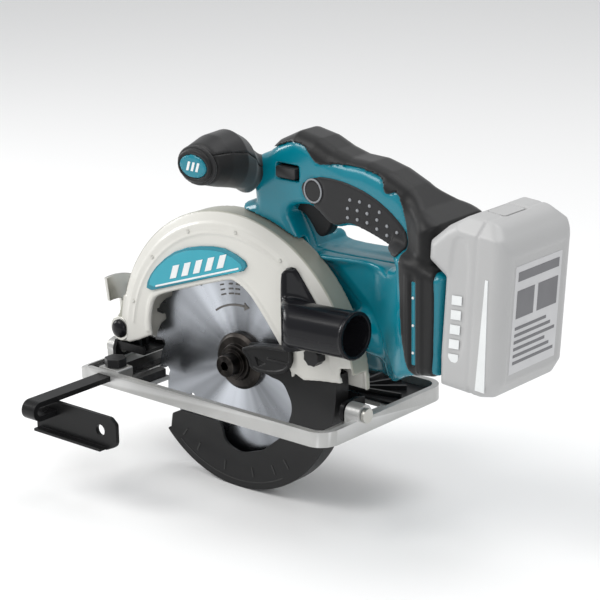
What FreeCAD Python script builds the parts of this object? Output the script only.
import FreeCAD, Part
import math
import os

# Cordless circular saw with the blade on its left side.
#
# Frame: millimetres, +Z up, -X is the cutting direction, -Y is the blade side.
# The origin lies on the sole of the base, under the spindle axis and on the base's middle line.
# Pieces of the saw head are drawn round the spindle axis at the blade's middle plane ("arbor").

Vector = FreeCAD.Vector
Rotation = FreeCAD.Rotation
Placement = FreeCAD.Placement

os.makedirs("parts", exist_ok=True)
doc = FreeCAD.newDocument("circular_saw")

# ---------------------------------------------------------------- driving dimensions

DIMENSIONS = {
    # base, seen from above
    "base_front": -119.0,
    "base_length": 230.5,
    "base_width": 130.0,
    "base_corner": 14.0,
    "rim_height": 10.3,
    "rim_wall": 4.5,
    "plate_thick": 3.0,
    "window_front": -62.0,
    "window_length": 154.0,
    "window_near": -60.5,
    "window_width": 80.5,
    # where the saw head stands over the base
    "arbor_x": 0.0,
    "arbor_y": -18.0,
    "arbor_z": 25.5,
    "bevel_y": -24.0,
    "bevel_z": 12.5,
    "depth_x": -106.0,
    "depth_z": 29.5,
    # blade and its drive
    "blade_radius": 82.5,
    "blade_thick": 1.4,
    "kerf": 2.0,
    "tooth_count": 24,
    "bore_radius": 10.0,
    "flange_radius": 20.0,
    "gear_teeth": 41,
    "pinion_teeth": 8,
    "gear_module": 0.9,
    "motor_x": 12.65,
    "motor_z": 18.06,
    "motor_radius": 25.0,
    "motor_housing_radius": 31.0,
    # guards
    "guard_radius": 106.0,
    "guard_face_radius": 98.0,
    "guard_wall": 2.5,
    "lower_guard_radius": 90.0,
    # handle, motor body and battery
    "handle_y": 15.0,
    "handle_half": 17.0,
    "shell_wall": 2.5,
    "mount_half": 34.0,
    "mount_tilt": 4.0,
    "battery_half": 37.5,
    "battery_height": 112.0,
    "battery_depth": 46.2,
    "battery_corner": 9.0,
    # fence
    "fence_bar_width": 12.0,
    "fence_bar_thick": 3.6,
}

sheet = doc.addObject("Spreadsheet::Sheet", "sizes")
for row, (alias, number) in enumerate(DIMENSIONS.items(), start=1):
    sheet.set("A%d" % row, alias)
    sheet.set("B%d" % row, str(number))
    sheet.setAlias("B%d" % row, alias)
doc.recompute()


def size(alias):
    """A driving dimension, read back from the sheet."""
    return float(sheet.get(alias))


# ---------------------------------------------------------------- outlines

def circle(x, y, radius):
    """A full circle as one closed loop."""
    return [Part.Circle(Vector(x, y, 0), Vector(0, 0, 1), radius)]


def outline(points):
    """A closed loop of straight edges; a point (x, y, r) gets a corner rounded to radius r."""
    count = len(points)
    starts, ends, arcs = [], [], []
    for index, point in enumerate(points):
        here = Vector(point[0], point[1], 0)
        before = Vector(points[index - 1][0], points[index - 1][1], 0)
        after = Vector(points[(index + 1) % count][0], points[(index + 1) % count][1], 0)
        radius = point[2] if len(point) > 2 else 0
        if not radius:
            starts.append(here)
            ends.append(here)
            arcs.append(None)
            continue
        back = (before - here).normalize()
        ahead = (after - here).normalize()
        half_turn = back.getAngle(ahead) / 2
        reach = radius / math.tan(half_turn)
        bisector = (back + ahead).normalize()
        middle = here + bisector * (radius / math.sin(half_turn) - radius)
        first = here + back * reach
        last = here + ahead * reach
        starts.append(first)
        ends.append(last)
        arcs.append(Part.Arc(first, middle, last))
    loop = []
    for index in range(count):
        if arcs[index]:
            loop.append(arcs[index])
        onward = starts[(index + 1) % count]
        if ends[index].distanceToPoint(onward) > 1e-6:
            loop.append(Part.LineSegment(ends[index], onward))
    return loop


def box_outline(x0, x1, y0, y1, radius=0):
    """A rectangle between two corners, with equal rounded corners."""
    return outline([(x0, y0, radius), (x1, y0, radius), (x1, y1, radius), (x0, y1, radius)])


def polar(radius, degrees, centre=(0, 0)):
    """The point at a radius and an angle round a centre."""
    turn = math.radians(degrees)
    return (centre[0] + radius * math.cos(turn), centre[1] + radius * math.sin(turn))


def sector(inner, outer, start, end, centre=(0, 0)):
    """A closed ring sector between two radii and two angles in degrees."""
    middle = (start + end) / 2

    def arc(radius, first, last):
        ends = [Vector(*polar(radius, angle, centre), 0) for angle in (first, middle, last)]
        return Part.Arc(*ends)

    corners = [Vector(*polar(radius, angle, centre), 0)
               for radius, angle in ((outer, end), (inner, end), (inner, start), (outer, start))]
    return [arc(outer, start, end), Part.LineSegment(corners[0], corners[1]),
            arc(inner, end, start), Part.LineSegment(corners[2], corners[3])]


def slot_arc(radius, half_width, start, end, centre=(0, 0)):
    """A curved slot with round ends, centred on one radius."""
    first = Vector(*polar(radius, start, centre), 0)
    last = Vector(*polar(radius, end, centre), 0)
    outer, side_end, inner, side_start = sector(radius - half_width, radius + half_width,
                                                start, end, centre)
    end_way = Vector(*polar(1, end + 90), 0)
    start_way = Vector(*polar(1, start - 90), 0)
    round_end = Part.Arc(side_end.StartPoint, last + end_way * half_width, side_end.EndPoint)
    round_start = Part.Arc(side_start.StartPoint, first + start_way * half_width,
                           side_start.EndPoint)
    return [outer, round_end, inner, round_start]


def arc_outline(radius, start, end, points):
    """A closed loop: an arc round the centre, then the corners that lead back to its start."""
    ends = [Vector(*polar(radius, angle), 0) for angle in (start, (start + end) / 2, end)]
    chord = outline([polar(radius, end)] + points + [polar(radius, start)])
    return chord[:-1] + [Part.Arc(*ends)]


def spoke(inner, outer, half_width, degrees):
    """A straight bar along one radius."""
    far, near = polar(outer, degrees), polar(inner, degrees)
    side = polar(half_width, degrees + 90)
    return outline([(far[0] - side[0], far[1] - side[1]), (near[0] - side[0], near[1] - side[1]),
                    (near[0] + side[0], near[1] + side[1]), (far[0] + side[0], far[1] + side[1])])


def hexagon(x, y, across):
    """A hexagon by its width across the flats."""
    return outline([polar(across / math.sqrt(3), 60 * corner, (x, y)) for corner in range(6)])


def gear_outline(teeth, module, fullness=0.40):
    """An external gear's outline with straight-flanked teeth, one tooth centred on +X."""
    pitch = teeth * module / 2
    pitch_step = 2 * math.pi / teeth
    tip = pitch + 0.95 * module
    root = pitch - 1.15 * module
    half = pitch_step * fullness / 2
    points = []
    for tooth in range(teeth):
        centre = tooth * pitch_step
        for radius, offset in ((root, -1.45 * half), (tip, -0.45 * half),
                               (tip, 0.45 * half), (root, 1.45 * half)):
            points.append((radius * math.cos(centre + offset), radius * math.sin(centre + offset)))
    return outline(points)


# ---------------------------------------------------------------- bodies and features

PLANES = {"x": "YZ_Plane", "y": "XZ_Plane", "z": "XY_Plane"}


def place(piece, origin, turn=None):
    """Bind a piece's position to the sheet: the sole, the arbor, the motor axis or a hinge."""
    cells = {
        "sole": ("0", "0", "0"),
        "arbor": ("sizes.arbor_x", "sizes.arbor_y", "sizes.arbor_z"),
        "motor": ("sizes.arbor_x + sizes.motor_x", "sizes.arbor_y",
                  "sizes.arbor_z + sizes.motor_z"),
        "bevel": ("0", "sizes.bevel_y", "sizes.bevel_z"),
        "depth": ("sizes.depth_x", "sizes.arbor_y", "sizes.depth_z"),
        "handle": ("sizes.arbor_x", "sizes.arbor_y + sizes.handle_y", "sizes.arbor_z"),
    }[origin]
    if turn:
        piece.Placement = Placement(Vector(), turn)
    for letter, cell in zip("xyz", cells):
        if cell != "0":
            piece.setExpression("Placement.Base." + letter, cell)


def body(label, origin):
    """An empty body, placed at one of the named origins."""
    made = doc.addObject("PartDesign::Body", label)
    made.Label = label
    place(made, origin)
    return made


def sketch(owner, axis, at, loops, turn=0):
    """A sketch across an axis at a distance along it; turn spins it about the Y axis."""
    made = owner.newObject("Sketcher::SketchObject", owner.Label + "_sketch")
    plane = next(each for each in owner.Origin.OriginFeatures if each.Role == PLANES[axis])
    made.AttachmentSupport = [(plane, "")]
    made.MapMode = "FlatFace"
    along = -at if axis == "y" else at
    made.AttachmentOffset = Placement(Vector(0, 0, along), Rotation(Vector(0, 1, 0), -turn))
    for loop in loops:
        made.addGeometry(loop, False)
    return made


def set_length(feature, name, length):
    """A number, or an expression over the sheet's cells."""
    if isinstance(length, str):
        feature.setExpression(name, length)
    else:
        setattr(feature, name, length)


def pad(owner, axis, start, length, *loops):
    """Add material from start along +axis over a length."""
    made = owner.newObject("PartDesign::Pad", owner.Label + "_pad")
    made.Profile = sketch(owner, axis, start, loops)
    made.Reversed = axis == "y"
    set_length(made, "Length", length)
    return made


def pocket(owner, axis, start, length, *loops):
    """Cut material away from start along +axis over a length, and prove that it cut."""
    doc.recompute()
    before = owner.Shape.Volume
    made = owner.newObject("PartDesign::Pocket", owner.Label + "_pocket")
    made.Profile = sketch(owner, axis, start, loops)
    made.Reversed = axis != "y"
    set_length(made, "Length", length)
    doc.recompute()
    if owner.Shape.Volume >= before - 1e-3:
        raise RuntimeError(owner.Label + ": a pocket cut nothing")
    return made


def turned(owner, axis, *profiles):
    """Revolve outlines of (radius, along-axis) points through a full turn about an axis."""
    made = owner.newObject("PartDesign::Revolution", owner.Label + "_turned")
    drawing_plane = "y" if axis == "z" else "z"
    loops = []
    for points in profiles:
        if axis == "x":
            points = [(point[1], point[0]) + tuple(point[2:]) for point in points]
        loops.append(outline(points))
    made.Profile = sketch(owner, drawing_plane, 0, loops)
    made.ReferenceAxis = (made.Profile[0], ["H_Axis" if axis == "x" else "V_Axis"])
    made.Angle = 360
    return made


def swept_ring(owner, start, sweep, *profiles):
    """Revolve (radius, along-Y) outlines about Y from one angle, +X towards +Z."""
    made = owner.newObject("PartDesign::Revolution", owner.Label + "_ring")
    drawing = sketch(owner, "z", 0, [outline(points) for points in profiles], turn=start)
    made.Profile = drawing
    made.ReferenceAxis = (drawing, ["V_Axis"])
    made.Reversed = True
    made.Angle = sweep
    return made


def tube(inner, outer, start, end):
    """The outline of a plain ring for turned()."""
    return [(inner, start), (outer, start), (outer, end), (inner, end)]


def solid_piece(label, shape, origin, turn=None):
    """A piece whose free-form shape comes straight from Part's own functions."""
    made = doc.addObject("Part::Feature", label)
    made.Label = label
    made.Shape = shape
    place(made, origin, turn)
    return made


def prism(axis, start, length, loop):
    """A plain extruded solid for free-form pieces, along X, Y or Z."""
    wire = Part.Wire([edge.toShape() for edge in loop])
    if axis == "y":
        wire.rotate(Vector(), Vector(1, 0, 0), 90)
        offset, reach = Vector(0, start, 0), Vector(0, length, 0)
    elif axis == "x":
        wire.rotate(Vector(), Vector(1, 0, 0), 90)
        wire.rotate(Vector(), Vector(0, 0, 1), 90)
        offset, reach = Vector(start, 0, 0), Vector(length, 0, 0)
    else:
        offset, reach = Vector(0, 0, start), Vector(0, 0, length)
    wire.translate(offset)
    return Part.Face(wire).extrude(reach)


def rod(start, end, radius):
    """A round bar between two points."""
    way = Vector(*end) - Vector(*start)
    return Part.makeCylinder(radius, way.Length, Vector(*start), way)


# ---------------------------------------------------------------- base and its fittings

FENCE_X = -88.5
FENCE_Z = 4.4
FENCE_SCREW_Y = -53.0
BRIDGE_TOP = 11.5
# across the blade, from front to back: the bevel quadrant, then the post that clamps it
QUADRANT_RADIUS = 44.0
QUADRANT_THICK = 2.6
QUADRANT_BACK = -116.5
POST_START = -116.2
CLAMP_ANGLE = 56.0
BEVEL_TRAVEL = 50.0


def make_base_plate():
    front = size("base_front")
    rear = front + size("base_length")
    half = size("base_width") / 2
    wall = size("rim_wall")
    corner = size("base_corner")
    piece = body("base_plate", "sole")
    pad(piece, "z", 0, "sizes.rim_height", box_outline(front, rear, -half, half, corner))
    pocket(piece, "z", size("plate_thick"), size("rim_height"),
           box_outline(front + wall, rear - wall, -half + wall, half - wall, corner - wall))
    # the window for the blade, with a narrow slot where the blade runs out ahead of it
    window_rear = size("window_front") + size("window_length")
    window_far = size("window_near") + size("window_width")
    pocket(piece, "z", -1, 2 + size("plate_thick"),
           box_outline(size("window_front"), window_rear, size("window_near"), window_far, 4))
    pocket(piece, "z", -1, 2 + size("plate_thick"),
           box_outline(-82.5, size("window_front") + 1, -27, 7, 0.8))
    # the raised nose of the front rim slopes down to the workpiece
    pocket(piece, "y", -half - 1, size("base_width") + 2,
           outline([(front - 1, 5.5), (front + 14, size("rim_height")),
                    (front + 14, size("rim_height") + 1), (front - 1, size("rim_height") + 1)]))
    # lugs that carry the bevel pins, front and rear
    bevel_y = size("bevel_y")
    lug = 7.0
    lug_top = size("bevel_z") + lug
    for start, length in ((front, 6.0), (rear - 11.5, 11.5)):
        pad(piece, "x", start, length,
            outline([(bevel_y - lug, 1), (bevel_y + lug, 1), (bevel_y + lug, lug_top, lug - 0.1),
                     (bevel_y - lug, lug_top, lug - 0.1)]))
    pocket(piece, "x", front - 1, size("base_length") + 2, circle(bevel_y, size("bevel_z"), 3.05))
    # the post that carries the bevel clamp behind the quadrant
    post_y, post_z = polar(QUADRANT_RADIUS, CLAMP_ANGLE, (bevel_y, size("bevel_z")))
    pad(piece, "x", POST_START, 3.0,
        outline([(post_y - 9, 1), (post_y + 9, 1), (post_y + 9, post_z + 8, 7),
                 (post_y - 9, post_z + 8, 7)]))
    pocket(piece, "x", POST_START - 1, 5, circle(post_y, post_z, 3.05))
    # slots in both rims and the bridge that guide the fence bar
    bridge_half = size("fence_bar_width") / 2 + 3.5
    pad(piece, "y", FENCE_SCREW_Y - 7, 14,
        box_outline(FENCE_X - bridge_half, FENCE_X + bridge_half, 2, BRIDGE_TOP, 1.5))
    bar_half = size("fence_bar_width") / 2 + 0.3
    pocket(piece, "y", -half - 1, size("base_width") + 2,
           box_outline(FENCE_X - bar_half, FENCE_X + bar_half, FENCE_Z - 0.3,
                       FENCE_Z + size("fence_bar_thick") + 0.3))
    pocket(piece, "z", FENCE_Z + 1, 10, circle(FENCE_X, FENCE_SCREW_Y, 3.05))
    return piece


def make_base_insert():
    """The ribbed black reinforcement in the far half of the base."""
    near = size("window_near") + size("window_width") + 1
    far = size("base_width") / 2 - size("rim_wall") - 0.5
    rear = size("base_front") + size("base_length") - size("rim_wall") - 0.5
    front = size("window_front") + 4
    floor = size("plate_thick")
    piece = body("base_insert", "sole")
    pad(piece, "z", floor, 2.0, box_outline(front, rear, near, far, 6))
    hub_x, hub_y = rear - 46, near + 3
    for spoke in range(6):
        reach_x, reach_y = polar(38, 12 + spoke * 26, (hub_x, hub_y))
        side_x, side_y = polar(1.1, 12 + spoke * 26 + 90)
        pad(piece, "z", floor + 1, 4.5,
            outline([(hub_x - side_x, hub_y - side_y), (reach_x - side_x, reach_y - side_y),
                     (reach_x + side_x, reach_y + side_y), (hub_x + side_x, hub_y + side_y)]))
    return piece


def make_base_strip():
    """The black strip on the base in front of the blade window."""
    piece = body("base_strip", "sole")
    near = -size("base_width") / 2 + size("rim_wall") + 0.5
    edge = size("window_front") - 0.5
    pad(piece, "z", size("plate_thick"), 5.5, box_outline(edge - 8, edge, near, -29, 1.5))
    return piece


def make_sight_plate():
    """The black cutting-line sight at the front of the base."""
    front = size("base_front")
    piece = body("sight_plate", "sole")
    sight = outline([(front + 5, -56, 3), (front + 23, -56, 3), (front + 23, -36, 3),
                     (front + 5, -36, 3)])
    pad(piece, "z", size("plate_thick"), 2.4, sight)
    for line in (-50, -42):
        pocket(piece, "z", size("plate_thick") + 1.6, 2, box_outline(front + 4, front + 20,
                                                                     line - 0.8, line + 0.8))
    return piece


def make_fence():
    """A flat bar across the base that turns down at its end, and the guide plate it carries."""
    thick = size("fence_bar_thick")
    half = size("fence_bar_width") / 2
    near = -137.0
    low = FENCE_Z - 10.0
    side = outline([(60, FENCE_Z), (60, FENCE_Z + thick), (near, FENCE_Z + thick, 6.8),
                    (near, low, 6.8), (-116, low), (-116, low + thick),
                    (near + thick, low + thick, 3.1), (near + thick, FENCE_Z, 3.1)])
    bar = body("fence_bar", "sole")
    pad(bar, "x", FENCE_X - half, "sizes.fence_bar_width", side)
    piece = body("rip_fence", "sole")
    plate = outline([(-103, FENCE_Z, 2), (-31, FENCE_Z, 3), (-26, 0.5, 3), (-26, -15.0, 6),
                     (-36, -19.5, 3), (-103, -19.5, 2)])
    pad(piece, "y", -116, 3.0, plate)
    pocket(piece, "y", -117, 5, circle(-41, -6.5, 4.0))
    lip = box_outline(-101, -37, -19.5, -17.5)
    pad(piece, "y", -121, 6, lip)
    return piece


def make_fence_screw():
    """The thumb screw that holds the fence bar in its slot."""
    knob_start = BRIDGE_TOP + 0.3
    knob_height = 6.0
    piece = body("fence_screw", "sole")
    shank = FENCE_Z + size("fence_bar_thick") + 0.35
    pad(piece, "z", shank, knob_start - shank, circle(FENCE_X, FENCE_SCREW_Y, 3.0))
    lobes = []
    for lobe in range(12):
        radius = 8.0 if lobe % 2 else 6.9
        lobes.append(polar(radius, lobe * 30, (FENCE_X, FENCE_SCREW_Y)) + (1.2,))
    pad(piece, "z", knob_start, knob_height, outline(lobes))
    return piece


# ---------------------------------------------------------------- bevel frame

BRACKET_FRONT = -112.5
BRACKET_REAR = -84.0
BRACKET_LOW = 1.0


def make_tilt_bracket():
    """The black front bracket: it swings on the bevel pins and carries the depth pivot."""
    piece = body("tilt_bracket", "bevel")
    pivot_x = size("depth_x")
    pivot_z = size("depth_z") - size("bevel_z")
    shift = size("arbor_y") - size("bevel_y")
    pad(piece, "y", shift - 11.5, 23.0,
        box_outline(BRACKET_FRONT, BRACKET_REAR, BRACKET_LOW, BRACKET_LOW + 2.5))
    flange = outline([(BRACKET_FRONT, BRACKET_LOW), (BRACKET_REAR, BRACKET_LOW),
                      (BRACKET_REAR, 7, 3), (BRACKET_FRONT, 7, 3)])
    for start in (shift - 11.5, shift + 9.0):
        pad(piece, "y", start, 2.5, flange)
    # two ears between the cheeks of the blade case hold the depth pivot
    ear = outline([(BRACKET_FRONT, BRACKET_LOW + 1), (BRACKET_FRONT, 9.5), (pivot_x - 9, 12),
                   (pivot_x - 9, pivot_z + 9, 8.5),
                   (pivot_x + 9, pivot_z + 9, 8.5), (pivot_x + 13, BRACKET_LOW + 1)])
    for start in (shift - 5.6, shift + 1.5):
        pad(piece, "y", start, 2.5, ear)
    front_plate = outline([(-8, -5.5, 3), (8, -5.5, 3), (17.5, 2), (17.5, 7.5), (-5.5, 7.5), (-8, 2)])
    pad(piece, "x", BRACKET_FRONT, 3.0, front_plate)
    # the lug that the quadrant is welded to
    pad(piece, "x", QUADRANT_BACK, BRACKET_FRONT - QUADRANT_BACK + 0.2, box_outline(9.5, 14, 3, 7.5))
    pocket(piece, "y", shift - 20, 40, circle(pivot_x, pivot_z, 4.05))
    pocket(piece, "x", BRACKET_FRONT - 1, 6, circle(0, 0, 3.05))
    return piece


def make_bevel_quadrant():
    """The slotted quadrant in front of the bracket that shows and holds the bevel angle."""
    piece = body("bevel_quadrant", "bevel")
    inner = QUADRANT_RADIUS - 9
    outer = QUADRANT_RADIUS + 9
    slot_start = CLAMP_ANGLE - BEVEL_TRAVEL - 2
    pad(piece, "x", QUADRANT_BACK - QUADRANT_THICK, QUADRANT_THICK,
        sector(inner, outer, slot_start - 5.5, CLAMP_ANGLE + 42))
    web = outline([(9.5, 3), (14, 3), polar(inner + 2, 60), polar(inner + 2, 80)])
    pad(piece, "x", QUADRANT_BACK - QUADRANT_THICK, QUADRANT_THICK, web)
    pocket(piece, "x", QUADRANT_BACK - QUADRANT_THICK - 1, QUADRANT_THICK + 2,
           slot_arc(QUADRANT_RADIUS, 3.3, slot_start, CLAMP_ANGLE + 2))
    return piece


def make_bevel_pins():
    """The two pins, front and rear, that the head leans over on."""
    piece = body("bevel_pins", "bevel")
    front = size("base_front")
    rear = front + size("base_length")
    turned(piece, "x", [(0, front - 3), (5, front - 3), (5, front - 0.3), (3, front - 0.3),
                        (3, -108.5), (0, -108.5)])
    turned(piece, "x", [(0, rear - 17.5), (3, rear - 17.5), (3, rear + 0.3), (5, rear + 0.3),
                        (5, rear + 3), (0, rear + 3)])
    return piece


def make_bevel_clamp():
    """Bolt, nut and wing lever that lock the quadrant to the base's post."""
    turn_y, turn_z = polar(QUADRANT_RADIUS, CLAMP_ANGLE)
    knob_front = QUADRANT_BACK - QUADRANT_THICK - 6.4
    nut_start = POST_START + 3.3
    piece = body("bevel_clamp", "bevel")
    pad(piece, "x", knob_front, nut_start - knob_front, circle(turn_y, turn_z, 3.0))
    pad(piece, "x", nut_start, 3.0, circle(turn_y, turn_z, 6.0))
    pad(piece, "x", knob_front, 6.0, circle(turn_y, turn_z, 7.0))
    lever = outline([(turn_y - 4, turn_z, 2), (turn_y - 3, turn_z - 26, 3),
                     (turn_y + 5, turn_z - 26, 3), (turn_y + 4, turn_z, 2)])
    pad(piece, "x", knob_front - 4.0, 4.0, circle(turn_y, turn_z, 7.0))
    pad(piece, "x", knob_front - 4.0, 4.0, lever)
    return piece


DEPTH_RADIUS = 150.0
DEPTH_REST = -3.0
DEPTH_TRAVEL = 28.0
GUIDE_START = 7.2
GUIDE_THICK = 2.2


def depth_bolt():
    """Where the depth clamp's bolt stands, measured from the arbor."""
    return polar(DEPTH_RADIUS, DEPTH_REST, (size("depth_x"), size("depth_z") - size("arbor_z")))


def make_depth_guide():
    """The slotted arc behind the blade case and the rear bracket that joins it to the base."""
    piece = body("depth_guide", "bevel")
    shift = size("arbor_y") - size("bevel_y")
    start = shift + GUIDE_START
    centre = (size("depth_x"), size("depth_z") - size("bevel_z"))
    half = 8.0
    rest = DEPTH_REST
    pad(piece, "y", start, GUIDE_THICK,
        sector(DEPTH_RADIUS - half, DEPTH_RADIUS + half, rest - 5.5, rest + DEPTH_TRAVEL + 5, centre))
    pocket(piece, "y", start - 1, GUIDE_THICK + 2,
           slot_arc(DEPTH_RADIUS, 3.3, rest - 0.4, rest + DEPTH_TRAVEL + 0.4, centre))
    foot_rear = 99.3
    foot = outline([(36, -7.5), (foot_rear, -8.5), (foot_rear, 6, 3), (88, 8, 6), (50, -1)])
    pad(piece, "y", start, GUIDE_THICK, foot)
    far = start + GUIDE_THICK
    arm = outline([(-7.5, -6.5, 4), (7.5, -6.5), (far, -4), (far, 6), (8, 7), (-7.5, 7, 5)])
    pad(piece, "x", foot_rear - 3, 3.0, arm)
    pocket(piece, "x", foot_rear - 4, 6, circle(0, 0, 3.05))
    return piece


# ---------------------------------------------------------------- blade group

def make_blade():
    """A blade with 24 hooked teeth, four expansion slots and a 20 mm bore."""
    radius = size("blade_radius")
    count = int(size("tooth_count"))
    step = 360 / count
    points = []
    for tooth in range(count):
        start = tooth * step
        for reach, offset in ((radius - 1.2, 0.0), (radius - 2.2, step * 0.22),
                              (radius - 5.5, step * 0.55), (radius - 9.5, step * 0.80),
                              (radius - 8.5, step * 0.95)):
            points.append(polar(reach, -(start + offset)))
    points.reverse()
    piece = body("saw_blade", "arbor")
    pad(piece, "y", -size("blade_thick") / 2, "sizes.blade_thick", outline(points),
        circle(0, 0, size("bore_radius")))
    for slot in range(4):
        angle = slot * 90 + 37.5
        inner = polar(radius - 22.0, angle)
        pocket(piece, "y", -2, 4, spoke(radius - 22.0, radius - 7.0, 0.5, angle))
        pocket(piece, "y", -2, 4, circle(inner[0], inner[1], 2.0))
    return piece


def make_blade_tips():
    """Carbide tips, wider than the plate, one brazed to the front of each tooth."""
    radius = size("blade_radius")
    count = int(size("tooth_count"))
    step = 360 / count
    piece = body("blade_tips", "arbor")
    loops = []
    for tooth in range(count):
        start = -tooth * step
        loops.append(outline([polar(radius, start + 0.15), polar(radius - 0.4, start + 1.65),
                              polar(radius - 6.0, start + 1.2), polar(radius - 6.0, start + 0.15)]))
    pad(piece, "y", -size("kerf") / 2, "sizes.kerf", *loops)
    return piece


def make_outer_flange():
    piece = body("outer_flange", "arbor")
    outer = size("flange_radius")
    face = -size("blade_thick") / 2
    turned(piece, "y", [(4.2, face), (outer, face), (outer, face - 3.4), (outer - 2.5, face - 5.6),
                        (13, face - 5.6), (12.2, -9.2), (4.2, -9.2)])
    return piece


def make_inner_flange():
    piece = body("inner_flange", "arbor")
    face = size("blade_thick") / 2
    turned(piece, "y", [(7.55, -face), (size("bore_radius") - 0.04, -face),
                        (size("bore_radius") - 0.04, face), (size("flange_radius"), face),
                        (size("flange_radius"), 4.4), (7.55, 4.4)])
    return piece


def make_blade_bolt():
    """The socket bolt and its washer that clamp the blade."""
    piece = body("blade_bolt", "arbor")
    turned(piece, "y", [(0, 16), (4, 16), (4, -9.2), (10, -9.2), (10, -10.8), (7.8, -10.8),
                        (7.8, -18.4), (7.2, -19), (0, -19)])
    pocket(piece, "y", -19.5, 6.0, hexagon(0, 0, 6))
    return piece


def make_spindle():
    piece = body("spindle", "arbor")
    turned(piece, "y", [(4.05, -size("blade_thick") / 2), (7.5, -size("blade_thick") / 2),
                        (7.5, 13.5), (6.5, 13.5), (6.5, 30.2), (0, 30.2), (0, 17), (4.05, 17)])
    return piece


GEAR_START = 15.0
GEAR_WIDTH = 9.0
RUNNING = 0.03


def make_spindle_gear():
    piece = body("spindle_gear", "arbor")
    pad(piece, "y", GEAR_START, GEAR_WIDTH,
        gear_outline(int(size("gear_teeth")), size("gear_module")), circle(0, 0, 6.5))
    for window in range(6):
        hole = polar(LOCK_RADIUS, window * 60 + 55)
        pocket(piece, "y", GEAR_START - 1, GEAR_WIDTH + 2, circle(hole[0], hole[1], 3.0))
    return piece


# ---------------------------------------------------------------- motor group

def pinion_phase():
    """The pinion turn that puts a tooth space where the gear's tooth points."""
    line = math.degrees(math.atan2(size("motor_z"), size("motor_x")))
    gear_step = 360 / size("gear_teeth")
    pinion_step = 360 / size("pinion_teeth")
    gear_offset = (line / gear_step) % 1
    facing = (line + 180) / pinion_step % 1
    return (facing - (0.5 - gear_offset)) * pinion_step


def make_armature_shaft():
    """The motor shaft with the pinion cut on its front end."""
    piece = body("armature_shaft", "motor")
    turned(piece, "y", [(0, 25), (2.4, 25), (2.4, 27), (4, 27), (4, 86), (0, 86)])
    pinion = Part.Wire([edge.toShape() for edge in
                        gear_outline(int(size("pinion_teeth")), size("gear_module"))])
    pinion.rotate(Vector(), Vector(0, 0, 1), pinion_phase())
    points = [vertex.Point for vertex in pinion.OrderedVertexes]
    pad(piece, "y", GEAR_START - 0.5, 11.0, outline([(point.x, point.y) for point in points]))
    return piece


def make_armature_core():
    """Laminated core with its windings bulging at both ends."""
    piece = body("armature_core", "motor")
    turned(piece, "y", [(4.0, 38), (12, 38), (14, 42), (16.5, 42), (16.5, 66), (14, 66), (12, 70),
                        (4.0, 70)])
    for groove in range(9):
        centre = polar(16.5, groove * 40)
        pocket(piece, "y", 41, 26, circle(centre[0], centre[1], 1.2))
    return piece


def make_commutator():
    piece = body("commutator", "motor")
    turned(piece, "y", tube(4.0, 9.0, 70.3, 79.0))
    for bar in range(18):
        pocket(piece, "y", 70, 9.5, spoke(8.2, 9.5, 0.25, bar * 20))
    return piece


def make_fan():
    """The cooling fan between the motor and the gears."""
    piece = body("motor_fan", "motor")
    turned(piece, "y", tube(4.0, 8.0, 31.5, 37.0))
    turned(piece, "y", tube(4.0, 22.0, 35.6, 37.0))
    for blade in range(12):
        pad(piece, "y", 31.5, 4.6, spoke(7.0, 21.5, 0.7, blade * 30))
    return piece


def make_motor_can():
    """The steel can round the motor, with a rolled lip at its fan end."""
    piece = body("motor_can", "motor")
    outer = size("motor_radius")
    turned(piece, "y", tube(outer - 2.0, outer, 38.0, 82.0))
    turned(piece, "y", tube(outer - 4.0, outer - 1.0, 38.0, 39.5))
    return piece


def make_motor_magnets():
    """Four magnets inside the can."""
    piece = body("motor_magnets", "motor")
    outer = size("motor_radius") - 2.0
    loops = [sector(17.1, outer, 90 * pole + 8, 90 * pole + 82) for pole in range(4)]
    pad(piece, "y", 42, 24, *loops)
    return piece


def make_brush_holders():
    """The end plate with two brass-lined brush boxes."""
    piece = body("brush_plate", "motor")
    turned(piece, "y", tube(11.0, 22.6, 79.4, 81.6))
    for side in (-1, 1):
        box = box_outline(min(side * 11, side * 22), max(side * 11, side * 22), -4.6, 4.6)
        pad(piece, "y", 70.6, 9.4, box)
        slot = box_outline(min(side * 10, side * 23), max(side * 10, side * 23), -3.1, 3.1)
        pocket(piece, "y", 71.6, 6.6, slot)
    return piece


def make_carbon_brushes():
    piece = body("carbon_brushes", "motor")
    loops = [box_outline(9.2, 19.5, -3.0, 3.0), box_outline(-19.5, -9.2, -3.0, 3.0)]
    pad(piece, "y", 71.8, 6.2, *loops)
    return piece


def make_bearings():
    """Ball bearings of the spindle and of the armature, as plain rings."""
    spindle = body("spindle_bearings", "arbor")
    turned(spindle, "y", tube(7.5 + RUNNING, 14.0, 5.4, 13.4))
    turned(spindle, "y", tube(6.5 + RUNNING, 9.5, 25.4, 30.2))
    armature = body("armature_bearings", "motor")
    turned(armature, "y", tube(4.0 + RUNNING, 7.5, 27.0, 31.0))
    turned(armature, "y", tube(4.0 + RUNNING, 8.0, 81.0, 86.0))


# ---------------------------------------------------------------- guards

CASE_BACK = 4.4
CASE_BACK_THICK = 2.2
CASE_FACE = -13.5
CASE_RIDGE = -9.5
NOSE_RADIUS = 24.0


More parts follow.
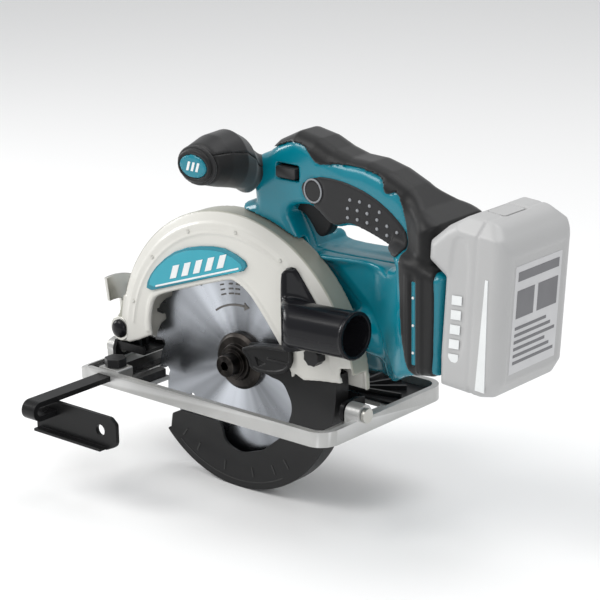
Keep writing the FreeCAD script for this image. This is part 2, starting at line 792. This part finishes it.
def make_upper_guard():
    """The cast blade case: rim, back wall and a near face with a large sighting window."""
    outer = size("guard_radius")
    face = size("guard_face_radius")
    wall = size("guard_wall")
    rim_inner = outer - wall
    piece = body("upper_guard", "arbor")
    back_end = CASE_BACK + CASE_BACK_THICK
    rim_start, rim_end = 7.0, 166.0
    swept_ring(piece, rim_start, rim_end - rim_start,
               [(rim_inner, CASE_RIDGE), (outer, CASE_RIDGE), (outer, back_end),
                (rim_inner, back_end)])
    swept_ring(piece, rim_start, rim_end - rim_start,
               [(face - 3, CASE_FACE), (face, CASE_FACE), (outer, CASE_RIDGE),
                (outer, CASE_RIDGE + 2), (rim_inner, CASE_RIDGE + 2), (face - 1, CASE_FACE + wall),
                (face - 3, CASE_FACE + wall)])
    # near face with its rear corner drawn out and down, then the arched window
    pad(piece, "y", CASE_FACE, wall,
        arc_outline(face, 8, 181, [(-87, 2, 5), (-60, 12), (40, 12), (66, 3, 6), (92, 7)]))
    pad(piece, "y", CASE_FACE, wall,
        outline([(80, 2), (98, 8, 1.5), (97, 13), (105.5, 14, 2), (104.5, 30), (80, 40)]))
    pocket(piece, "y", CASE_FACE - 1, wall + 2,
           outline([(57, -5), (55.5, 8, 3), (51, 17, 10), (46, 26, 12), (30, 45, 14),
                    (16, 58, 10), (2, 61, 6), (-66, 36, 8), (-75, 22, 12), (-75, -5)]))
    # back wall with the seat for the gear case
    pad(piece, "y", CASE_BACK, CASE_BACK_THICK,
        arc_outline(outer - 1, 2, 166, [(-99, -3, 3), (-60, -3, 6), (-34, -14, 6), (34, -14, 6),
                                        (60, -3, 6), (70, -10, 5), (82, -10, 5), (90, 0, 5)]))
    pocket(piece, "y", CASE_BACK - 1, 5, circle(0, 0, 24.9))
    bolt = depth_bolt()
    pocket(piece, "y", CASE_BACK - 1, 5, circle(bolt[0], bolt[1], 3.05))
    # the two cheeks of the front leg end in eyes for the depth pivot
    eye_x, eye_z = size("depth_x"), size("depth_z") - size("arbor_z")
    leg = outline([(eye_x - 2, eye_z - 8.4), (-95, eye_z - 7.4, 2), (-90, 28), (-101.5, 28),
                   (eye_x - 2, eye_z + 8)])
    for start, length in ((-11.5, 5.5), (CASE_BACK, 4.3)):
        pad(piece, "y", start, length, circle(eye_x, eye_z, 8.5))
        pad(piece, "y", start, length, leg)
    pocket(piece, "y", -20, 40, circle(eye_x, eye_z, 4.05))
    return piece


def make_lower_guard():
    """The retracting guard: two walls and a rim round the lower half of the blade."""
    outer = size("lower_guard_radius")
    start, end = -136.0, 6.0
    piece = body("lower_guard", "arbor")
    swept_ring(piece, start, end - start,
               [(outer - 2, -9.3), (outer, -9.3), (outer, 3.7), (outer - 2, 3.7)])
    # near wall: crescent with an arm that ends beside the blade flange
    arm = [(60, 10), (30, 20, 4), (13, 17, 2), (15.5, 9, 2), (22.5, 0, 4), (34, -3, 4),
           (44, -4, 10), (53, -20, 16), (44, -42, 16), (24, -58, 20), (0, -66, 20), (-11, -58, 8),
           (-14, -46, 6), (-52, -46, 3), (-60, -50, 3)]
    pad(piece, "y", -9.3, 1.9, arc_outline(outer - 0.4, start + 2, end, arm))
    # far wall, riding on the nose of the gear case
    hub = [polar(28, 60, ) + (10,), polar(32, 100) + (14,), polar(34, 150) + (16,),
           polar(34, 200) + (16,), (-50, -44)]
    pad(piece, "y", 2.0, 1.7, arc_outline(outer - 0.4, start + 2, end, hub),
        circle(0, 0, NOSE_RADIUS + 0.3))
    return piece


def make_guard_lever():
    """The thumb lever on the lower guard, reaching out through the sighting window."""
    piece = body("guard_lever", "arbor")
    pad(piece, "y", -15.0, 5.6, outline([(17, 14, 1.5), (38, 19, 3), (44, 11, 3), (36, 3, 3),
                                         (24, 2, 3)]))
    plate = outline([(12.5, 13.5, 1), (34, 22.5, 8), (55, 24, 3), (58, 20, 2), (57, 11, 4),
                     (49, 4.5, 4), (30, 1.5, 6), (20, 5, 3)])
    pad(piece, "y", -17.2, 2.3, plate)
    flange = outline([(12.5, 13.5), (34, 22.5, 8), (55, 24, 2), (57, 21.5), (34, 20, 8),
                      (14, 12)])
    pad(piece, "y", -22.0, 5.0, flange)
    return piece


def make_guard_spring():
    """The coil return spring of the lower guard, laid round the gear case nose."""
    piece = body("guard_spring", "arbor")
    turned(piece, "y", tube(NOSE_RADIUS + 0.2, NOSE_RADIUS + 0.8, 4.3, 6.5))
    return piece


# ---------------------------------------------------------------- gear case and clamp

LOCK_RADIUS = 13.3
LOCK_ANGLE = 235.0

def make_gear_case():
    """Aluminium gear case: nose for the lower guard, bearing seats and motor flange."""
    piece = body("gear_case", "arbor")
    motor = (size("motor_x"), size("motor_z"))
    turned(piece, "y", tube(20.8, NOSE_RADIUS, 1.6, 7.0))
    turned(piece, "y", tube(14.0, NOSE_RADIUS, 5.2, 14.2))
    pad(piece, "y", 9.6, 20.9, circle(0, 0, NOSE_RADIUS + 0.2))
    pad(piece, "y", 9.6, 20.9, circle(motor[0], motor[1], 24.5))
    # the flange that the blade case is screwed to
    pad(piece, "y", CASE_BACK + CASE_BACK_THICK, 3.0, sector(27.0, 33.0, -12, 192))
    pad(piece, "y", 9.6, 2.4, sector(20.0, 33.0, -12, 192))
    lock_x, lock_z = polar(LOCK_RADIUS, LOCK_ANGLE)
    pocket(piece, "y", 14.2, 11.0, circle(0, 0, 20.6))
    pocket(piece, "y", 14.2, 11.0, circle(motor[0], motor[1], 6.4))
    pocket(piece, "y", 5.3, 12.0, circle(0, 0, 14.0))
    pocket(piece, "y", 24, 10, circle(0, 0, 9.5))
    pocket(piece, "y", 24, 10, circle(motor[0], motor[1], 7.5))
    pocket(piece, "y", 24, 10, circle(lock_x, lock_z, 2.6 + RUNNING))
    return piece


def make_depth_clamp():
    """Bolt and lever that lock the head against the depth guide."""
    bolt = depth_bolt()
    piece = body("depth_clamp", "arbor")
    pad(piece, "y", CASE_BACK + 0.7, 8.5, circle(bolt[0], bolt[1], 3.0))
    pad(piece, "y", 9.7, 4.4, circle(bolt[0], bolt[1], 7.0))
    lever = outline([(bolt[0], bolt[1] - 6), (bolt[0] + 34, bolt[1] - 12, 3),
                     (bolt[0] + 37, bolt[1] - 4, 3), (bolt[0], bolt[1] + 6)])
    pad(piece, "y", 11.0, 3.1, lever)
    return piece


def make_depth_pivot():
    """The headed pin that the saw head swings on for its cutting depth."""
    piece = body("depth_pivot", "depth")
    turned(piece, "y", [(0, -15.3), (4.5, -15.3), (7.4, -13.5), (7.4, -11.8), (4.0, -11.8),
                        (4.0, 9.0), (6, 9.0), (6, 11), (0, 11)])
    return piece


# ---------------------------------------------------------------- housings

HANDLE_TOP = [(28, 155, 8), (46, 164, 14), (66, 161, 20), (82, 155, 20), (106, 153, 40),
              (124, 149, 30), (140, 142, 30), (156, 131, 20), (171, 125)]
OVERMOULD = 4.5
SLOT_START = 171.0
TRIGGER_PIN = (43.2, 113.7)
BATTERY_FRONT = 177.8
BATTERY_LOW = 39.5
TERMINALS = (-11, 0, 11)


def handle_top_inner():
    """The line under the soft cover, a constant drop below the top of the handle."""
    return [(x, z - OVERMOULD) + tuple(rest) for x, z, *rest in HANDLE_TOP]


def side_profile():
    """The saw body seen from the blade side: column, handle and battery mount."""
    front = [(-2, 107.5), (8, 112, 4), (6, 128, 10), (12, 142, 8)]
    rear = [(171, 101, 2), (183.9, 95.8, 2), (179.5, 32, 4), (164, 31, 4), (134, 15, 8),
            (117, 5, 8), (84, 3.5, 10), (46.5, 3.5), (46.5, 50), (34, 53)]
    return front + handle_top_inner() + rear


def hand_opening():
    """The finger opening under the handle."""
    return [(52, 113, 3), (66, 116, 4), (80, 107, 4), (94, 111, 8), (106, 109, 12), (124, 104, 12),
            (140, 97, 5), (136, 88, 5), (54, 86, 5)]


def battery_slot_loop(half):
    """Plan of the slot that takes the battery's rail block."""
    return box_outline(size("handle_y") - half, size("handle_y") + half, 33, 140)


def handle_hollow():
    """The hollow inside the column and the handle."""
    return [(14, 116, 4), (18, 142, 8), (48, 156, 10), (84, 147, 10), (124, 140, 10),
            (144, 122, 6), (140, 106, 6), (106, 116, 6), (84, 115, 6), (66, 121, 6),
            (44, 117, 5), (40, 111, 3)]


def trim_plans(side):
    """Plan outlines that trim the near or far face of the body; side is -1 or +1."""
    middle = size("handle_y")
    edge = side * 60
    low = outline([(-60, side * 4.8 + middle), (98, side * 4.8 + middle, 20),
                   (150, side * 30 + middle, 14), (164, side * size("mount_half") + middle, 8),
                   (200, side * size("mount_half") + middle), (200, middle + edge),
                   (-60, middle + edge)])
    high = outline([(-60, side * size("handle_half") + middle),
                    (140, side * size("handle_half") + middle, 20),
                    (164, side * size("mount_half") + middle, 8),
                    (200, side * size("mount_half") + middle), (200, middle + edge),
                    (-60, middle + edge)])
    return low, high


def make_left_housing():
    """Left half shell: half of the column and handle, and the thin wall beside the blade case."""
    middle = size("handle_y")
    reach = size("mount_half")
    wall = size("shell_wall")
    piece = body("left_housing", "arbor")
    pad(piece, "y", middle - reach, "sizes.mount_half", outline(side_profile()),
        outline(hand_opening()))
    low, high = trim_plans(-1)
    pocket(piece, "z", -20, 114, low)
    pocket(piece, "z", 93.9, 80, high)
    # room for the depth clamp lever
    pocket(piece, "y", 9.0, 7.0, outline([(44, -4), (90, -4), (90, 17, 5), (44, 17, 5)]))
    depth = size("handle_half") - wall
    pocket(piece, "y", middle - depth, depth + 1, outline(handle_hollow()))
    pocket(piece, "y", middle - size("mount_half") + wall + 4, 50,
           outline([(152, 40, 4), (166, 40, 3), (168, 92, 3), (156, 108, 4), (150, 92, 4)]))
    pocket(piece, "x", SLOT_START, 20, battery_slot_loop(25.4))
    trigger_slot(piece, -5.8)
    lock_slot(piece)
    return piece


def trigger_slot(piece, pin_start):
    """The mouth in the underside of the handle for the trigger, crossed by half its pin."""
    middle = size("handle_y")
    pocket(piece, "y", middle - 5.6, 11.2, box_outline(38.5, 75, 100, 122))
    pad(piece, "y", middle + pin_start, 5.8, circle(TRIGGER_PIN[0], TRIGGER_PIN[1], 1.5))


def lock_slot(piece):
    """The cross hole for the lock-off button in the column."""
    pocket(piece, "y", -10, 60, box_outline(36.2, 53.8, 134.7, 143.3, 2))


def make_right_housing():
    """Right half shell: the other half of the handle and the full body behind the motor."""
    middle = size("handle_y")
    reach = size("mount_half")
    wall = size("shell_wall")
    piece = body("right_housing", "arbor")
    pad(piece, "y", middle, "sizes.mount_half", outline(side_profile()), outline(hand_opening()))
    _, high = trim_plans(1)
    pocket(piece, "z", 93.9, 80, high)
    pocket(piece, "y", middle - 1, size("handle_half") - wall + 1, outline(handle_hollow()))
    pocket(piece, "y", middle - 1, reach - wall + 1,
           outline([(50, 8, 4), (84, 8, 6), (116, 9.5, 6), (132, 19, 6), (163, 36, 4),
                    (165, 92, 4), (146, 92, 4), (138, 83, 4), (50, 81, 4)]))
    pocket(piece, "x", SLOT_START, 20, battery_slot_loop(25.4))
    trigger_slot(piece, 0)
    lock_slot(piece)
    return piece


def make_motor_housing():
    """The round housing over the motor with cooling slots in its end and a front flange."""
    piece = body("motor_housing", "motor")
    outer = size("motor_housing_radius")
    inner = outer - size("shell_wall")
    turned(piece, "y", [(inner, 30.8), (outer, 30.8), (outer, 84, 6), (23, 91, 6), (0, 91),
                        (0, 88.5), (21, 88.5, 4), (inner, 81, 4)])
    turned(piece, "y", tube(8.05, 11.0, 80.6, 89.0))
    for slot in range(8):
        pocket(piece, "y", 86, 7, spoke(13.5, 20.0, 1.3, slot * 45))
    for start in (44, 76):
        turned(piece, "y", tube(size("motor_radius"), inner + 0.5, start, start + 2))
    return piece


def make_handle_cover():
    """The soft cover over the top of the handle, from the column to the battery."""
    middle = size("handle_y")
    half = size("handle_half")
    piece = body("handle_cover", "arbor")
    top = [HANDLE_TOP[0][:2]] + HANDLE_TOP[1:]
    under = [(x, z - OVERMOULD) + tuple(rest) for x, z, *rest in reversed(top)]
    pad(piece, "y", middle - half, 2 * half, outline(top + under))
    return piece


def make_side_pads():
    """The grip pads let into both flanks of the handle."""
    middle = size("handle_y")
    half = size("handle_half")
    pad_outline = [(55.5, 131, 6), (62, 139, 6), (77, 141, 10), (93, 140, 14), (113, 136, 16),
                   (133, 125, 8), (144, 114, 4), (139, 103, 4), (126, 106, 8), (107, 112, 8),
                   (96, 114, 8), (82, 110, 6), (68, 119, 6)]
    for side, label in ((-1, "side_pad_left"), (1, "side_pad_right")):
        piece = body(label, "arbor")
        start = middle - half - 1.6 if side < 0 else middle + half
        pad(piece, "y", start, 1.6, outline(pad_outline))


def make_mount_bumper():
    """The soft band round the battery mount."""
    piece = body("mount_bumper", "arbor")
    middle = size("handle_y")
    reach = size("mount_half")
    band = 2.4
    pad(piece, "x", 162.5, 12.0,
        outline([(middle - reach - band, 95), (middle - reach - band, 29, 8),
                 (middle + reach + band, 29, 8), (middle + reach + band, 95),
                 (middle + reach + 0.05, 95), (middle + reach + 0.05, 30.9, 1),
                 (middle - reach - 0.05, 30.9, 1), (middle - reach - 0.05, 95)]))
    return piece


def grip_section(y, x, z, half_width, half_height):
    """An elliptical cross-section of the front grip, at one distance along it."""
    big, small = max(half_width, half_height), min(half_width, half_height)
    ellipse = Part.Ellipse(Vector(), big, small).toShape()
    if half_height > half_width:
        ellipse.rotate(Vector(), Vector(0, 0, 1), 90)
    ellipse.rotate(Vector(), Vector(1, 0, 0), 90)
    ellipse.translate(Vector(x, y, z))
    return Part.Wire(ellipse)


def make_front_grip():
    """The side grip in two half shells, with its end cap."""
    sections = [grip_section(-1.5, 19, 134, 15, 16), grip_section(-12, 18, 141, 17.5, 17.5),
                grip_section(-26, 17.5, 147, 19, 18.5), grip_section(-42, 16.5, 149, 18.5, 17),
                grip_section(-54, 15.5, 149, 17, 14)]
    whole = Part.makeLoft(sections, True)
    hollow = whole.copy()
    hollow.scale(0.78, Vector(17.5, -27, 144))
    shell = whole.cut(hollow)
    column_front = Part.makeBox(60, 40, 60, Vector(5.8, -1.9, 100))
    shell = shell.cut(column_front)
    for label, start in (("grip_front", -60), ("grip_rear", 17.6)):
        keep = Part.makeBox(77.4, 90, 90, Vector(start, -70, 100))
        solid_piece(label, shell.common(keep), "arbor")
    cap_rear = grip_section(-54.2, 15.5, 149, 16.8, 13.8)
    cap_front = grip_section(-59.0, 15.0, 149, 14.5, 11.0)
    cap = Part.makeLoft([cap_rear, cap_front], True)
    badge = grip_section(-59.6, 15.0, 149, 11.5, 7.5)
    pocket_tool = Part.Face(badge).extrude(Vector(0, 1.6, 0))
    solid_piece("grip_cap", cap.cut(pocket_tool), "arbor")
    disc = Part.Face(grip_section(-59.6, 15.0, 149, 11.3, 7.3)).extrude(Vector(0, 1.5, 0))
    solid_piece("grip_badge", disc, "arbor")


# ---------------------------------------------------------------- fittings on the head

def make_guard_badge():
    """The plain coloured plate over the sighting window."""
    piece = body("guard_badge", "arbor")
    pad(piece, "y", CASE_FACE - 1.2, 1.2,
        arc_outline(86.5, 84, 140, [(-76, 43, 2), (-74, 39.5, 2), (17, 70.5, 2), (19, 76, 4)]))
    return piece


def make_dust_nozzle():
    """The dust outlet: a foot on the blade case and a round tube that points to the rear."""
    foot = prism("y", CASE_FACE - 3.0, 3.0,
                 outline([(52, 77, 2), (60, 80, 2), (88, 47, 3), (88, 33, 3), (66, 29.5, 3),
                          (56, 33, 5), (51, 41, 6)]))
    tube_start, tube_end = (66, -28.5, 47), (123, -28.5, 49.5)
    rise = (tube_end[2] - tube_start[2]) / (tube_end[0] - tube_start[0])
    outside = rod(tube_start, tube_end, 15.6)
    skirt = prism("y", -40.0, 27.0 - 0.5, outline([(53, 70, 4), (60, 77, 3), (90, 48, 6),
                                                    (90, 33, 3), (66, 31.4, 3), (56, 35, 6),
                                                    (53, 42, 6)]))
    slope = prism("x", 40, 60, outline([(-50, 20), (-29, 20), (-44.1, 49), (-13, 84), (-13, 90),
                                        (-50, 90)]))
    skirt = skirt.cut(slope)
    inside = rod((70, -28.5, 47 + 4 * rise), (124, -28.5, 47 + 58 * rise), 13.4)
    shape = outside.fuse([foot, skirt]).cut(inside).removeSplitter()
    solid_piece("dust_nozzle", shape, "arbor")


def make_nozzle_screw():
    """The knurled screw that holds the nozzle to the blade case."""
    piece = body("nozzle_screw", "arbor")
    centre = (79, 24.0)
    pad(piece, "y", -21.5, 8.0, outline([polar(6.6 if notch % 2 else 5.8, notch * 22.5, centre)
                                         for notch in range(16)]))
    return piece


def make_trigger():
    """The trigger, hinged on a pin through its front end."""
    piece = body("trigger", "handle")
    pad(piece, "y", -5.0, 10.0, outline([(40, 117), (40, 111, 3), (47, 109.5, 3), (54, 103, 6),
                                         (59, 96, 3), (66, 97.5, 3), (72, 107, 5), (73.5, 117)]))
    pocket(piece, "y", -6, 12, circle(TRIGGER_PIN[0], TRIGGER_PIN[1], 1.55))
    return piece


def make_lock_button():
    """The lock-off button that passes through the column."""
    piece = body("lock_button", "handle")
    pad(piece, "y", -19.4, 38.8, box_outline(36.6, 53.4, 135.1, 142.9, 1.8))
    return piece


def make_shaft_lock():
    """The button that holds the spindle gear while the blade bolt is turned."""
    piece = body("shaft_lock", "arbor")
    centre = polar(LOCK_RADIUS, LOCK_ANGLE)
    pad(piece, "y", GEAR_START + GEAR_WIDTH + 3.3, 6.9, circle(centre[0], centre[1], 2.6))
    pad(piece, "y", 34.0, 4.0, outline([polar(10.5, 212) + (2,), polar(25, 222) + (4,),
                                        polar(25, 248) + (4,), polar(10.5, 258) + (2,)]))
    return piece


def make_switch():
    piece = body("switch_body", "handle")
    pad(piece, "y", -9, 18, box_outline(62, 94, 122.6, 140, 1.5))
    return piece


def make_terminal_block():
    piece = body("terminal_block", "handle")
    pad(piece, "y", -16, 32, box_outline(153.5, 164, 60, 84, 1))
    for blade in TERMINALS:
        pad(piece, "y", blade - 0.4, 0.8, box_outline(163, 173.8, 65, 77))
    return piece


def make_controller():
    """The speed and battery protection board behind the motor."""
    piece = body("controller_board", "handle")
    pad(piece, "y", 8, 1.6, box_outline(60, 124, 26, 76, 2))
    for x, z, width, height in ((66, 34, 10, 14), (80, 34, 10, 14), (94, 34, 10, 14),
                                (70, 58, 16, 10), (98, 56, 18, 14)):
        pad(piece, "y", 9, 6, box_outline(x, x + width, z, z + height))
    return piece


def make_lamp():
    """The lens of the work lamp at the foot of the column."""
    piece = body("lamp_lens", "handle")
    pad(piece, "y", -4, 14, outline([(-2.4, 107.0), (9, 106.8), (10, 110, 1), (4, 109.9)]))
    return piece


def make_housing_screws():
    """Screws that hold the two half shells together, driven from the right."""
    piece = body("housing_screws", "handle")
    for x, z in ((24, 120), (148, 112), (100, 86.0), (158, 34.5)):
        turned_screw(piece, x, z, 14.2 if z > 100 else 31.4)
    return piece


def turned_screw(piece, x, z, face):
    """One pan-head screw whose head stands against a face across Y."""
    pad(piece, "y", face + 2.9, 2.4, circle(x, z, 3.2))
    pocket(piece, "y", face + 4.0, 1.5, hexagon(x, z, 2.4))


# ---------------------------------------------------------------- battery

def make_battery():
    """The slide-on battery: case with its rail block, and the cells inside."""
    middle = size("handle_y")
    half = size("battery_half")
    wall = 2.6
    rear = BATTERY_FRONT + size("battery_depth")
    top = BATTERY_LOW + size("battery_height")
    lean = Rotation(Vector(0, 1, 0), size("mount_tilt"))
    case = body("battery_case", "arbor")
    case.Placement = Placement(Vector(), lean)
    pad(case, "y", middle - half, "2 * sizes.battery_half",
        outline([(BATTERY_FRONT + 2, BATTERY_LOW, 3), (rear, BATTERY_LOW, 12), (rear, top, 16),
                 (190, top, 10), (164.7, 131, 8), (164.7, 118, 3), (BATTERY_FRONT, 111, 2),
                 (BATTERY_FRONT, BATTERY_LOW + 2, 2)]))
    for side in (-1, 1):
        flank = middle + side * half
        pocket(case, "x", 150, 80,
               outline([(flank, top + 1.5), (flank, top - 6.5), (flank - side * 8, top + 1.5)]))
        pocket(case, "x", 150, 80, outline([(flank, BATTERY_LOW - 1.5), (flank, BATTERY_LOW + 6.5),
                                            (flank - side * 8, BATTERY_LOW - 1.5)]))
    pad(case, "y", middle - 24.8, 49.6, box_outline(168.6, BATTERY_FRONT + 0.5, 49, 107, 1))
    for blade in TERMINALS:
        pocket(case, "y", middle + blade - 1.0, 2.0, box_outline(166, 178, 48, 88))
    pocket(case, "y", middle - half + wall, 2 * (half - wall),
           outline([(BATTERY_FRONT + wall, BATTERY_LOW + 3.5, 3),
                    (rear - wall, BATTERY_LOW + 3.5, 9), (rear - wall, top - 6.5, 12),
                    (190, top - 6.5, 6), (BATTERY_FRONT + wall, 136, 3)]))
    pocket(case, "z", top - 8, 12, box_outline(190, 204, middle - 11.3, middle + 11.3, 2))
    cells = body("battery_cells", "arbor")
    cells.Placement = Placement(Vector(), lean)
    loops = []
    for column in range(2):
        for layer in range(5):
            loops.append(circle(190.6 + 19.0 * column, 53.0 + 18.6 * layer, 9.1))
    pad(cells, "y", middle - 32.5, 65, *loops)
    button = body("battery_button", "arbor")
    button.Placement = Placement(Vector(), lean)
    pad(button, "z", top - 5.5, 5.0, box_outline(190.4, 203.6, middle - 10.9, middle + 10.9, 2))
    for piece in (case, cells, button):
        for letter in "xyz":
            piece.setExpression("Placement.Base." + letter, "sizes.arbor_" + letter)


# ---------------------------------------------------------------- build, check and write

def build_all():
    for make in (make_base_plate, make_base_insert, make_base_strip, make_sight_plate,
                 make_fence, make_fence_screw, make_tilt_bracket, make_bevel_quadrant,
                 make_bevel_pins, make_bevel_clamp, make_depth_guide, make_blade,
                 make_blade_tips, make_outer_flange, make_inner_flange, make_blade_bolt,
                 make_spindle, make_spindle_gear, make_armature_shaft, make_armature_core,
                 make_commutator, make_fan, make_motor_can, make_motor_magnets,
                 make_brush_holders, make_carbon_brushes, make_bearings, make_upper_guard,
                 make_lower_guard, make_guard_lever, make_guard_spring, make_gear_case,
                 make_depth_clamp, make_depth_pivot, make_left_housing, make_right_housing,
                 make_motor_housing, make_handle_cover, make_side_pads, make_mount_bumper,
                 make_front_grip, make_guard_badge, make_dust_nozzle, make_nozzle_screw,
                 make_trigger, make_lock_button, make_shaft_lock, make_switch,
                 make_terminal_block, make_controller, make_lamp, make_housing_screws,
                 make_battery):
        make()


def sub_parts():
    """Every top-level piece of the saw: the bodies and the free-form solids."""
    return [each for each in doc.Objects
            if each.TypeId in ("PartDesign::Body", "Part::Feature")]


# Each piece named first gives way to the pieces after it where they meet.
TRIMS = {
    "base_insert": ("base_plate",),
    "sight_plate": ("base_plate",),
    "blade_tips": ("saw_blade",),
    "dust_nozzle": ("upper_guard",),
    "grip_front": ("left_housing",),
    "grip_rear": ("left_housing",),
    "left_housing": ("upper_guard", "lamp_lens"),
    "right_housing": ("housing_screws", "lamp_lens"),
    "mount_bumper": ("left_housing", "right_housing"),
    "side_pad_left": ("left_housing",),
    "side_pad_right": ("right_housing",),
    "terminal_block": ("left_housing", "right_housing"),
}
CRUMB = 40.0


def trimmed(piece, pieces):
    """The shape of a piece less its neighbours, without the crumbs that a cut can leave."""
    shape = piece.Shape
    for neighbour in TRIMS.get(piece.Label, ()):
        shape = shape.cut(pieces[neighbour].Shape)
    if piece.Label not in TRIMS or len(shape.Solids) == 1:
        return shape
    kept = [solid for solid in shape.Solids
            if piece.Label == "blade_tips" or solid.Volume > CRUMB]
    return kept[0] if len(kept) == 1 else Part.makeCompound(kept)


def check_and_write():
    doc.recompute()
    for each in doc.Objects:
        if "Invalid" in each.State or "Error" in each.State:
            raise RuntimeError(each.Label + " failed to compute: " + str(each.State))
    pieces = {piece.Label: piece for piece in sub_parts()}
    for name, piece in pieces.items():
        shape = trimmed(piece, pieces)
        if shape.isNull() or not shape.isValid():
            raise RuntimeError(name + " has no valid shape")
        shape.exportStep("parts/%s.step" % name)
        print("%-20s %9.0f mm3  %d solids" % (name, shape.Volume, len(shape.Solids)))


build_all()
check_and_write()
